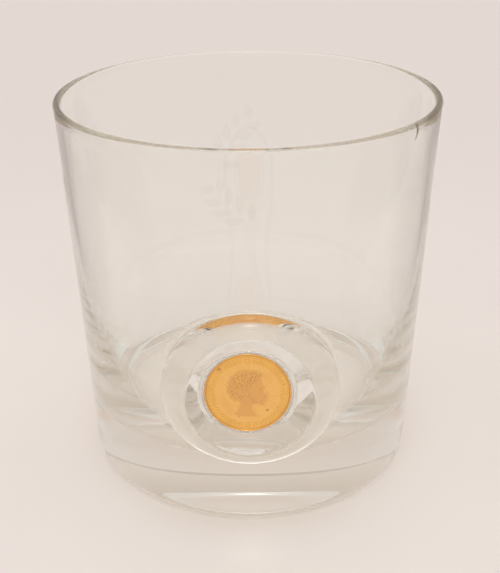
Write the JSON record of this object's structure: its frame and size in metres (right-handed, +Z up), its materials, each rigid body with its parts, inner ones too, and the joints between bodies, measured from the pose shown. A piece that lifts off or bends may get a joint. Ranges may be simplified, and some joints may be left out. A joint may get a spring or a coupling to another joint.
{
  "type": "coin tumbler glass",
  "caption": "Heavy-based, slightly conical clear glass tumbler with a round applied glass prunt on its wall that frames a gold portrait coin.",
  "frame": {"origin": "on the glass's axis, in the plane of the ring that it stands on", "axes": "+Z up along the glass's axis, the coin and its prunt face -Y, +X to the right of someone looking at the coin"},
  "size_m": [0.096, 0.1007, 0.0985],
  "materials": {
    "clear_glass": "fire-polished, colourless",
    "clear_cement": "clear set resin",
    "coin_gold": "struck gold, soft sheen"
  },
  "bodies": {
    "root": {"tumbler": "clear_glass", "prunt": "clear_glass", "cement_bed": "clear_cement", "coin": "coin_gold"}
  },
  "joints": []
}
